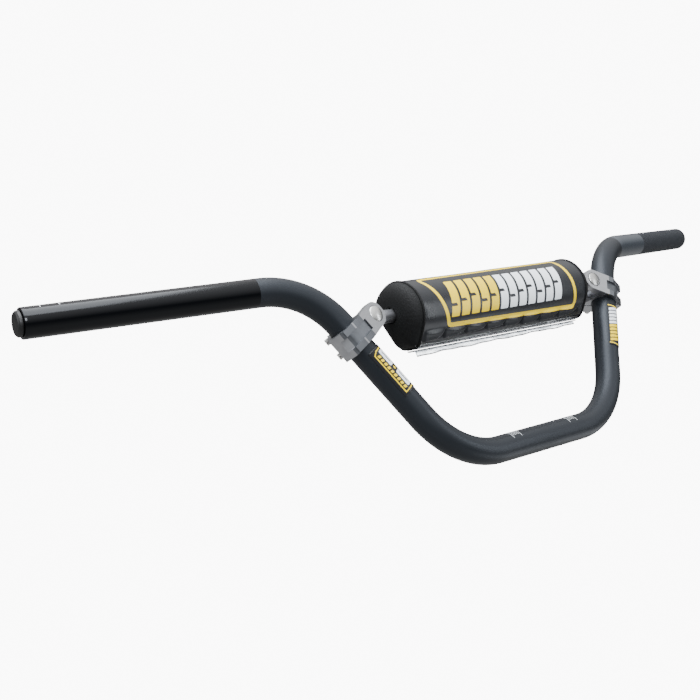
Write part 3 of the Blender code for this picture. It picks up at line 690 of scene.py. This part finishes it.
def between(direction, low, high, soft=0.15):
    """1 where the offset along a direction is between two values in mm."""
    far = add_node(tree, "ShaderNodeVectorMath", {0: offset, 1: tuple(direction)},
                   operation="DOT_PRODUCT")
    above = remap(tree, far.outputs["Value"], 0.0, 1.0, (low - soft) * MM, (low + soft) * MM)
    below = remap(tree, far.outputs["Value"], 0.0, 1.0, (high + soft) * MM, (high - soft) * MM)
    return combine(tree, "MULTIPLY", above, below)


saddle = combine(tree, "MULTIPLY", between(inboard, -2.1, 7.5), between(RISER_FRONT, 6.0, 30.0))
window = combine(tree, "MULTIPLY", between(inboard, -20.0, 10.4), between(RISER_FRONT, 8.0, 13.6))
painted_facet_shade = combine(tree, "MAXIMUM", saddle, window)
satin_colour = shader.inputs["Base Color"].links[0].from_socket
# Painted shade: the saddle and the window floor take a darker grey than the satin elsewhere.
feed(shader, Base_Color=mix_colours(tree, painted_facet_shade, satin_colour, "#6f7277"))
drawn = satin_metal("drawn aluminium", "#b9bbbf", "#9c9ea3", 0.3, 0.42, 0.6, 0.2)
plated = satin_metal("zinc plated steel", "#d6d6d4", "#bcbcba", 0.24, 0.34, 0.7, 0.15)

for side_name, side in SIDES:
    for part, body in (("yoke", "bar"), ("cap", "cap_" + side_name)):
        add_softened("clamp_%s_%s" % (part, side_name), "_cast", body, "cast_clamps", casting, 0.45)
    for number in (1, 2):
        add_softened("clamp_cap_screw_%s_%d" % (side_name, number), "_plated", "cap_" + side_name,
                     "plated_fasteners", plated, 0.22)
    add_softened("crossbar_eye_" + side_name, "_cast", "bar", "cast_clamps", drawn, 0.3)

# %% [markdown]
# ## Pivot pins
# The crossbar's eyes turn on steel sleeves with a low domed head, held by a screw from the rear.
# Both are turned parts, so each is one profile carried round the pin's axis.

# %% Sleeves and screws
PIN_OUT = 25.1
riser_angle = np.arctan2(TOP_X - FOOT_X, RISER_HEIGHT)
pin_up = CLAMP_ON_RISER * np.cos(riser_angle) + PIN_OUT * np.sin(riser_angle)
pin_x = FOOT_X + CLAMP_ON_RISER * np.sin(riser_angle) - PIN_OUT * np.cos(riser_angle)
PIN_Y = pin_up * np.sin(RISE_LEAN) * MM
PIN_Z = pin_up * np.cos(RISE_LEAN) * MM
HEAD_TOP, HEAD_RIM, HEAD_R = 14.2, 12.9, 6.4
dome_r = (HEAD_R ** 2 + (HEAD_TOP - HEAD_RIM) ** 2) / (2.0 * (HEAD_TOP - HEAD_RIM))
dome_t = np.linspace(0.0, np.arcsin((HEAD_R - 0.5) / dome_r), 9)
dome = np.stack([HEAD_TOP - dome_r * (1.0 - np.cos(dome_t)), dome_r * np.sin(dome_t)], -1)
sleeve_profile = np.concatenate([dome, eased([
    dome[-1] + (-0.05, 0.1), (HEAD_RIM - 0.2, HEAD_R), (10.9, HEAD_R), (10.9, 3.85), (-7.6, 3.85),
    (-7.6, 2.7), (4.0, 2.7), (4.0, 0.0)], 0.25)])
screw_profile = eased([(3.0, 0.0), (3.0, 2.4), (-9.7, 2.4), (-9.7, 4.25), (-12.5, 4.25),
                       (-12.5, 2.0), (-10.3, 2.0), (-10.3, 0.0)], 0.3)
for side_name, side in SIDES:
    pin = (side * pin_x * MM, PIN_Y, PIN_Z)
    sleeve = add_turned("pivot_sleeve_%s_turned" % side_name, sleeve_profile, pin, RISER_FRONT, plated)
    belongs(sleeve, "sleeve_" + side_name, "plated_fasteners", "pivot_sleeve_" + side_name)
    screw = add_turned("pivot_screw_%s_turned" % side_name, screw_profile, pin, RISER_FRONT, plated)
    belongs(screw, "screw_" + side_name, "plated_fasteners", "pivot_screw_" + side_name)

# %% Crossbar
CROSSBAR_PROFILE = [(111.7, 3.95), (111.7, 5.5), (-111.7, 5.5), (-111.7, 3.95)]
t = full_turn(48)
bar_x, bar_r = np.array(CROSSBAR_PROFILE).T * MM
bar_grid = np.stack([bar_x[:, None] + 0.0 * t, PIN_Y + bar_r[:, None] * np.cos(t),
                     PIN_Z + bar_r[:, None] * np.sin(t)], -1)
crossbar = add_surface("crossbar_drawn", bar_grid, drawn, wrap=(True, True))
close_up(crossbar.data)
smooth(crossbar.data, 40.0)
belongs(crossbar, "bar", "drawn_crossbar", "crossbar_tube")

# %% [markdown]
# ## The pad
# The pad is a foam roll, slit so that it goes over the crossbar, in a coated cloth cover that is
# pulled tight and closed underneath. Its section is a circle drawn out into a blunt nose at the
# front and below. The section is worked out as arcs joined by straight tangents, and every piece
# of the pad uses it, each moved inwards by its own amount.

# %% The pad's section
PAD_ARCS = ((0.0, 0.0, 26.1), (-13.9, -17.6, 8.0), (-4.2, -21.3, 7.0), (11.1, 4.7, 14.0))
PAD_X = 3.0 * MM
PAD_HALF = 106.2 * MM
START_ANGLE = np.radians(22.9)


def tangent_direction(first, second):
    """The direction a line touching two circles on the outside faces."""
    dy, dz = second[0] - first[0], second[1] - first[1]
    return np.arctan2(dz, dy) - np.arccos((first[2] - second[2]) / np.hypot(dy, dz))


def section():
    """Places round the section in metres (y, z), 0.25 mm apart or closer, from the rear over the
    top to the front, the nose and back. Returns them and the length round to each."""
    turns = [tangent_direction(PAD_ARCS[k], PAD_ARCS[k + 1]) for k in range(3)]
    starts = [START_ANGLE, *turns]
    ends = [*turns, START_ANGLE]
    points = []
    for (y, z, radius), a, b in zip(PAD_ARCS, starts, ends):
        b = b + 2.0 * np.pi * (b < a)
        t = np.linspace(a, b, 60)
        points.append(np.stack([y + radius * np.cos(t), z + radius * np.sin(t)], -1))
    points = np.concatenate(points + [points[0][:1]]) * MM
    length = np.concatenate([[0.0], np.cumsum(np.linalg.norm(np.diff(points, axis=0), axis=1))])
    fine = np.linspace(0.0, length[-1], 800)
    return np.stack([np.interp(fine, length, points[:, k]) for k in (0, 1)], -1), fine


outline, girth = section()
GIRTH = girth[-1]
print("pad section %.1f mm round" % (GIRTH / MM))


def section_at(h, inset=0.0):
    """Place on the section, moved in by inset, and the way it faces, h metres round it."""
    h = np.asarray(h) % GIRTH
    yz = np.stack([np.interp(h, girth, outline[:, k]) for k in (0, 1)], -1)
    slope = np.gradient(outline, girth, axis=0)
    ty, tz = (np.interp(h, girth, slope[:, k]) for k in (0, 1))
    out = np.stack([tz, -ty], -1) / np.hypot(ty, tz)[..., None]
    return yz - out * inset, out


def pad_point(x, yz):
    """A place in the object's frame, from x along the pad and (y, z) round its axis."""
    return np.stack([PAD_X + x + 0.0 * yz[..., 0], PIN_Y + yz[..., 0], PIN_Z + yz[..., 1]], -1)


# %% [markdown]
# ### Foam core
# The foam is squeezed by its cover, and swells a little between the ends. It starts slightly
# small, is remeshed into even faces, and is then blown up as cloth with pressure inside for
# twenty steps. How far a point may move is capped, so that the roll keeps its size.


# %% Swollen by pressure
def apply_modifiers(piece):
    """Puts the piece's modifiers into its mesh."""
    graph = bpy.context.evaluated_depsgraph_get()
    made = bpy.data.meshes.new_from_object(piece.evaluated_get(graph), depsgraph=graph)
    piece.modifiers.clear()
    piece.data = made


def mesh_points(mesh):
    flat = np.empty(len(mesh.vertices) * 3, np.float32)
    mesh.vertices.foreach_get("co", flat)
    return flat.reshape(-1, 3)


def swell(piece, voxel, pressure, most):
    """Voxel remesh, cloth with pressure and no gravity, and each point's move capped at most."""
    remesh = piece.modifiers.new("even faces", "REMESH")
    remesh.mode = "VOXEL"
    remesh.voxel_size = voxel
    apply_modifiers(piece)
    rest = mesh_points(piece.data)
    frames = 20
    cloth = piece.modifiers.new("pressure", "CLOTH")
    cloth.settings.use_pressure = True
    cloth.settings.uniform_pressure_force = pressure
    cloth.settings.effector_weights.gravity = 0.0
    cloth.point_cache.frame_end = frames
    for step in range(1, frames + 1):
        bpy.context.scene.frame_set(step)
    apply_modifiers(piece)
    bpy.context.scene.frame_set(1)
    moved = mesh_points(piece.data) - rest
    far = np.linalg.norm(moved, axis=1, keepdims=True)
    moved *= np.minimum(1.0, most / np.maximum(far, 1e-9))
    piece.data.vertices.foreach_set("co", (rest + moved).reshape(-1))
    print("%s moved at most %.2f mm" % (piece.name, far.max() / MM))
    finer = piece.modifiers.new("finer", "SUBSURF")
    finer.levels = finer.render_levels = 1
    apply_modifiers(piece)
    piece.data.shade_smooth()


foam, tree, shader = start_material("black closed-cell foam", "#18191c", roughness=0.95)
cells = add_texture(tree, "Voronoi", 900.0)
feed(shader, Normal=add_bump(tree, cells, 0.5, 0.0003),
     Base_Color=mix_colours(tree, cells, "#101114", "#222428"))

# Rings of the section, small at the two ends and full between: a closed roll.
core_x = np.array((-1.0, -1.0, -0.985, -0.95, -0.6, -0.2, 0.2, 0.6, 0.95, 0.985, 1.0, 1.0))
core_in = np.array((24.0, 4.5, 3.6, 3.2, 3.2, 3.2, 3.2, 3.2, 3.2, 3.6, 4.5, 24.0)) * MM
h = np.linspace(0.0, GIRTH, 90, endpoint=False)
core_yz = section_at(h)[0]
size = 1.0 - core_in[:, None, None] / PAD_ARCS[0][2] / MM
core_grid = pad_point((core_x * (PAD_HALF - 2.0 * MM))[:, None], core_yz[None] * size)
core = add_surface("pad_core", core_grid, foam, wrap=(False, True))
close_up(core.data)
swell(core, 4.5 * MM, 4.0, 1.6 * MM)
belongs(core, "pad", "closed_cell_foam", "pad_foam")

# %% [markdown]
# ### Printed cover
# The cover is knitted cloth coated with glossy PVC. It lies on the foam, with soft shallow waves,
# and its lower edge is gathered where it is stitched: each gather makes a fold that runs along
# the seam and turns up at its end. The printing is flat shapes, cut by the shader.


# %% Shape of the cover
def wave(t):
    """Smooth steps between 0 and 1."""
    t = np.clip(t, 0.0, 1.0)
    return t * t * (3.0 - 2.0 * t)


PLEAT_PITCH = 25.5
PLEAT_BASE = 91.5
PRINTED_HALF = 106.0


def gather(x):
    """How far along its own gather a place is, from 0 to 1, for x along the pad in mm."""
    return ((x + PRINTED_HALF + 3.0 * np.sin(x / 31.0)) / PLEAT_PITCH) % 1.0


def pleat_line(x):
    """Where the gather's fold lies round the section, in mm, for x along the pad in mm: nearly
    straight, then turning up by about 5 mm at the end of each gather."""
    t = gather(x)
    rise = 5.2 + 1.4 * np.sin(x / 17.0)
    return PLEAT_BASE - 2.0 * t - rise * t ** 7 + 0.8 * np.sin(x / 23.0)


def cover_lift(x, h):
    """How far the cover stands off its section in mm: shallow waves, and a lip above each fold
    that drops into a groove below it."""
    soft = 0.16 * np.sin(x / 16.0 + 0.6 * np.sin(h / 21.0)) * np.sin(h / 13.0 + 0.4)
    below = h - pleat_line(x)
    near = wave((h - 81.5) / 5.0) * (1.0 - wave((h - 97.0) / 3.0))
    slack = 0.9 * wave((h - 86.0) / 8.0) * (1.0 - wave((h - 106.0) / 6.0))
    belly = 0.9 * np.sin(np.pi * gather(x)) ** 0.8
    step = wave((below + 0.4) / 1.0)
    lip = (0.4 + 1.5 * belly) * (1.0 - step) - 1.3 * step
    ends = wave((PAD_HALF / MM - np.abs(x)) / 5.0)
    return (soft + slack + near * lip) * ends - 0.25 * (1.0 - ends)


x_mm = np.linspace(-PRINTED_HALF, PRINTED_HALF, 330)
h_mm = np.concatenate([np.linspace(0.0, 78.0, 92, endpoint=False),
                       np.linspace(78.0, 99.0, 46, endpoint=False),
                       np.linspace(99.0, GIRTH / MM, 62, endpoint=False)])
x, h = np.meshgrid(x_mm, h_mm, indexing="ij")
yz, out = section_at(h * MM)
yz = yz + out * (cover_lift(x, h) * MM - 0.1 * MM)[..., None]
cover_grid = pad_point(x * MM, yz)
cover_out = np.stack([np.zeros_like(h), out[..., 0], out[..., 1]], -1)

# The printed shapes, in flat millimetres: a rounded frame, and slanted bars in two colours.
panel = polygon_distance(x, h, [(-87.0, 37.5), (80.0, 36.0), (86.5, 79.5), (-73.0, 77.0)])
yellow = band(panel + 4.0, 3.6)
white = np.full(x.shape, -30.0)
for k, left in enumerate(np.arange(-72.0, 74.0, 12.2)):
    shape = slanted(x, -h, left, left + 9.4, -74.5, -42.5, -0.14)
    notch = slanted(x, -h, left - 1.0, left + 5.6, -66.0 + 3.0 * (k % 3), -63.4 + 3.0 * (k % 3), 0.6)
    shape = np.minimum(shape, -notch)
    if k < 5:
        yellow = np.maximum(yellow, shape)
    else:
        white = np.maximum(white, shape)
# Painted shade: a near-black line along each fold's groove, laid on the cover like an ink.
fold = 1.1 - np.abs(h - pleat_line(x) - 0.9) - 3.0 * (np.abs(x) > 104.5)

# PVC coating on a knitted cloth: a wet gloss over a faint weave of 0.6 mm stitches.
# The first ink layer is painted shade along the folds.
coated, tree, shader = printed_material("printed PVC coated cloth", "#15171b", 0.24,
                                        [("painted_fold_shade", "#030304", "#050506"), *INKS])
weave = add_texture(tree, "Noise", 1400.0, Detail=2.0)
ripple = add_texture(tree, "Noise", 70.0, Detail=3.0)
weave_bump = add_bump(tree, weave, 0.1, 0.0001)
feed(shader, Normal=add_bump(tree, ripple, 0.25, 0.0008, weave_bump),
     Roughness=remap(tree, ripple, 0.2, 0.38))

cover = add_surface("pad_cover_printed", cover_grid, coated, wrap=(False, True), outward=cover_out,
                    values={"yellow_ink": yellow, "white_ink": white, "painted_fold_shade": fold})
thicken(cover, "cloth", 0.9, -1.0)
belongs(cover, "pad", "printed_vinyl", "pad_cover")

# %% [markdown]
# ### Ends and closure
# A disc of grained cloth is sewn into each end with a welted seam, and domes round the foam.
# Underneath, hook and loop tape hold the cover's edges, and a clear PVC flap covers the seam.

# %% End discs
# Grained leathercloth: matt, with a pebble of about 1 mm.
grained, tree, shader = start_material("black grained leathercloth", "#08090b", roughness=0.8,
                                       Specular_IOR_Level=0.25)
pebble = add_texture(tree, "Voronoi", 950.0, Randomness=0.9)
feed(shader, Normal=add_bump(tree, pebble, 0.6, 0.0003), Roughness=remap(tree, pebble, 0.55, 0.8),
     Base_Color=mix_colours(tree, pebble, "#030304", "#0b0c0e"))

DISC_DOME = 11.6
HOLE_R = 6.3
h = np.linspace(0.0, GIRTH, 160, endpoint=False)
rim_yz = section_at(h, 0.4 * MM)[0]
rim_r = np.linalg.norm(rim_yz, axis=1, keepdims=True)
hole_yz = rim_yz / rim_r * HOLE_R * MM
inwards = np.linspace(0.0, 1.0, 26) ** 1.4
dome_x = 0.5 + DISC_DOME * np.sqrt(1.0 - (1.0 - inwards) ** 2.4)

# The welt: a thin cord in the seam, a tube round the rim's line.
WELT_R = 1.0 * MM
WELT_STEPS = 240
t = full_turn(10)
line_yz, line_out = section_at(np.linspace(0.0, GIRTH, WELT_STEPS, endpoint=False), 0.3 * MM)
welt_yz = line_yz[:, None] + line_out[:, None] * (WELT_R * np.cos(t))[None, :, None]
around = np.concatenate([np.sin(t)[None, :, None] + np.zeros((WELT_STEPS, 1, 1)),
                         line_out[:, None] * np.cos(t)[None, :, None]], -1)
for side_name, side in SIDES:
    spread = rim_yz[None] + (hole_yz - rim_yz)[None] * inwards[:, None, None]
    pucker = 0.12 * np.sin(h / GIRTH * 2.0 * np.pi * 34)[None] * (1.0 - inwards[:, None]) ** 2
    x = side * (PAD_HALF + (dome_x[:, None] - 0.6 + pucker * np.sin(np.pi * inwards)[:, None]) * MM)
    grid = pad_point(x, spread)
    disc = add_surface("pad_end_%s_sewn" % side_name, grid, grained, wrap=(False, True),
                       outward=(side, 0.0, 0.0))
    thicken(disc, "cloth", 0.8, -1.0)
    belongs(disc, "pad", "end_fabric", "pad_end_panel_" + side_name)
    x = side * PAD_HALF + WELT_R * np.sin(t)[None] + np.zeros((WELT_STEPS, 1))
    welt = add_surface("pad_welt_" + side_name, pad_point(x, welt_yz), grained,
                       wrap=(True, True), outward=around)
    belongs(welt, "pad", "end_fabric")

# %% Tapes and clear flap
front, rear = PAD_ARCS[1], PAD_ARCS[2]
NOSE_LEAN = -np.pi / 2.0 - tangent_direction(front, rear)
NOSE_DEPTH = (front[2] - front[0] * np.sin(NOSE_LEAN) - front[1] * np.cos(NOSE_LEAN)) * MM
nose_middle = ((front[0] + rear[0]) * np.cos(NOSE_LEAN) - (front[1] + rear[1]) * np.sin(NOSE_LEAN))
NOSE_MIDDLE = nose_middle / 2.0 * MM


def nose_point(x, across, depth):
    """A place under the nose: across its flat underside, and depth below it."""
    c, s = np.cos(-NOSE_LEAN), np.sin(-NOSE_LEAN)
    low = -NOSE_DEPTH - depth
    return pad_point(x, np.stack([across * c - low * s, across * s + low * c], -1))


tape, tree, shader = start_material("black hook and loop tape", "#17181c", roughness=0.9,
                                    Sheen_Weight=0.3)
pile = add_texture(tree, "Noise", 2200.0, Detail=4.0)
feed(shader, Normal=add_bump(tree, pile, 0.8, 0.0005),
     Base_Color=mix_colours(tree, pile, "#0c0d0f", "#2a2c31"))

TAPE_WIDTH = 9.0 * MM
TAPE_THICK = 0.85 * MM


def add_tape(name, top):
    """A tape under the nose, its upper face that far below it: a slab with rounded edges."""
    x = np.linspace(-PAD_HALF + 0.3 * MM, PAD_HALF - 0.3 * MM, 200)[:, None]
    t = full_turn(28)[None]
    a = np.sign(np.cos(t)) * np.abs(np.cos(t)) ** 0.45 * TAPE_WIDTH / 2.0
    d = np.sign(np.sin(t)) * np.abs(np.sin(t)) ** 0.7 * TAPE_THICK / 2.0
    depth = top + TAPE_THICK / 2.0 + d + 0.0 * x
    grid = nose_point(x + 0.0 * a, NOSE_MIDDLE + a + 0.0 * x, depth)
    strip = add_surface(name + "_woven", grid, tape, wrap=(False, True))
    close_up(strip.data)
    smooth(strip.data, 60.0)
    belongs(strip, "pad", name[4:8] + "_tape", name)


add_tape("pad_loop_tape", 0.35 * MM)
add_tape("pad_hook_tape", 1.5 * MM)

# Clear flexible PVC: nearly colourless, a little cloudy, with a sharp gloss and darker cut edges.
CLEAR = "#dfe4e8"
clear, tree, shader = start_material("clear flexible PVC", CLEAR, roughness=0.12, IOR=1.53)
place = add_node(tree, "ShaderNodeTexCoord")
stretch = add_node(tree, "ShaderNodeMapping", {
    "Vector": place.outputs["Object"], "Scale": (60.0, 420.0, 420.0)})
cloudy = add_node(tree, "ShaderNodeTexNoise", {"Vector": stretch, "Scale": 1.0, "Detail": 4.0})
haze = remap(tree, cloudy, 0.35, 0.85, 0.35, 0.65)
cut_mask = edge(tree, "cut_edge", 0.3)
clarity = combine(tree, "SUBTRACT", haze, cut_mask)
clarity.use_clamp = True
feed(shader, Transmission_Weight=clarity, Roughness=remap(tree, cloudy, 0.06, 0.3),
     Normal=add_bump(tree, cloudy, 0.3, 0.0006),
     Base_Color=mix_colours(tree, cut_mask, CLEAR, "#16171a"))

# The flap lies under the nose and then hangs past its front edge: a line of 11 mm, carried along
# the pad, that runs flat and then bends down on a quarter turn. It hangs lower at one end.
x = np.linspace(-PAD_HALF + 0.3 * MM, PAD_HALF - 5.0 * MM, 240)[:, None]
far = np.linspace(0.0, 1.0, 30)[None]
hang = (4.1 - 0.8 * x / PAD_HALF + 0.35 * np.sin(x / (9.0 * MM)) + 0.2 * np.sin(x / (3.7 * MM))) * MM
FLAT_PART = 7.0 * MM
length = far * (FLAT_PART + hang)
past = np.maximum(length - FLAT_PART, 0.0)
BEND_LENGTH = 1.8 * MM
turned_by = np.minimum(past / BEND_LENGTH, 1.0) * np.radians(74.0)
step = np.diff(length, axis=1, prepend=0.0)
across = NOSE_MIDDLE + 3.4 * MM - np.cumsum(step * np.cos(turned_by), axis=1)
depth = 2.5 * MM + np.cumsum(step * np.sin(turned_by), axis=1)
flap = add_surface("pad_closure_flap_clear", nose_point(x + 0.0 * far, across, depth), clear,
                   values={"cut_edge": (length - FLAT_PART - hang) / MM + 0.8 + 0.0 * x})
thicken(flap, "sheet", 0.6, 0.0)
belongs(flap, "pad", "clear_vinyl", "pad_closure_flap")

# %% Stitches
# Lockstitch at 3.2 mm: each stitch is a low arch of thread, a small tube carried along a bow.
stitch_x = np.arange(-103.0, 103.0, 3.2) * MM
bow = np.linspace(0.0, 1.0, 5)
t = full_turn(6)
thread_r = 0.22 * MM
h_line = 98.6 * MM
line_yz, line_out = section_at(np.array([h_line]))
x = stitch_x[:, None, None] + (bow * 2.4 * MM)[None, :, None] + 0.0 * t
rise = (0.5 * np.sin(np.pi * bow) - 0.1)[None, :, None] * MM + thread_r * np.cos(t)[None, None]
slide = thread_r * np.sin(t)[None, None] + 0.0 * x
out_yz = line_out[0]
yz = line_yz[0] + (rise + 0.0 * x)[..., None] * out_yz + slide[..., None] * np.array(
    (-out_yz[1], out_yz[0]))
stitch_points = pad_point(x, yz)
count, rings, sides = stitch_points.shape[:3]
i, j, k = np.meshgrid(np.arange(count), np.arange(rings - 1), np.arange(sides), indexing="ij")
first = (i * rings + j) * sides
quads = np.stack([first + k, first + sides + k, first + sides + (k + 1) % sides,
                  first + (k + 1) % sides], -1).reshape(-1, 4)
thread, tree, shader = start_material("white polyester thread", "#c9ccd0", roughness=0.6,
                                      Sheen_Weight=0.3)
twist = add_node(tree, "ShaderNodeTexWave", {"Scale": 900.0})
feed(shader, Base_Color=mix_colours(tree, twist.outputs[1], "#a9adb2", "#d9dcdf"))
stitch_mesh = bpy.data.meshes.new("stitches")
stitch_mesh.from_pydata(stitch_points.reshape(-1, 3), [], quads)
close_up(stitch_mesh)
stitch_mesh.shade_smooth()
stitches = add_piece("pad_seam_stitches", stitch_mesh, thread)
belongs(stitches, "pad", "end_fabric")
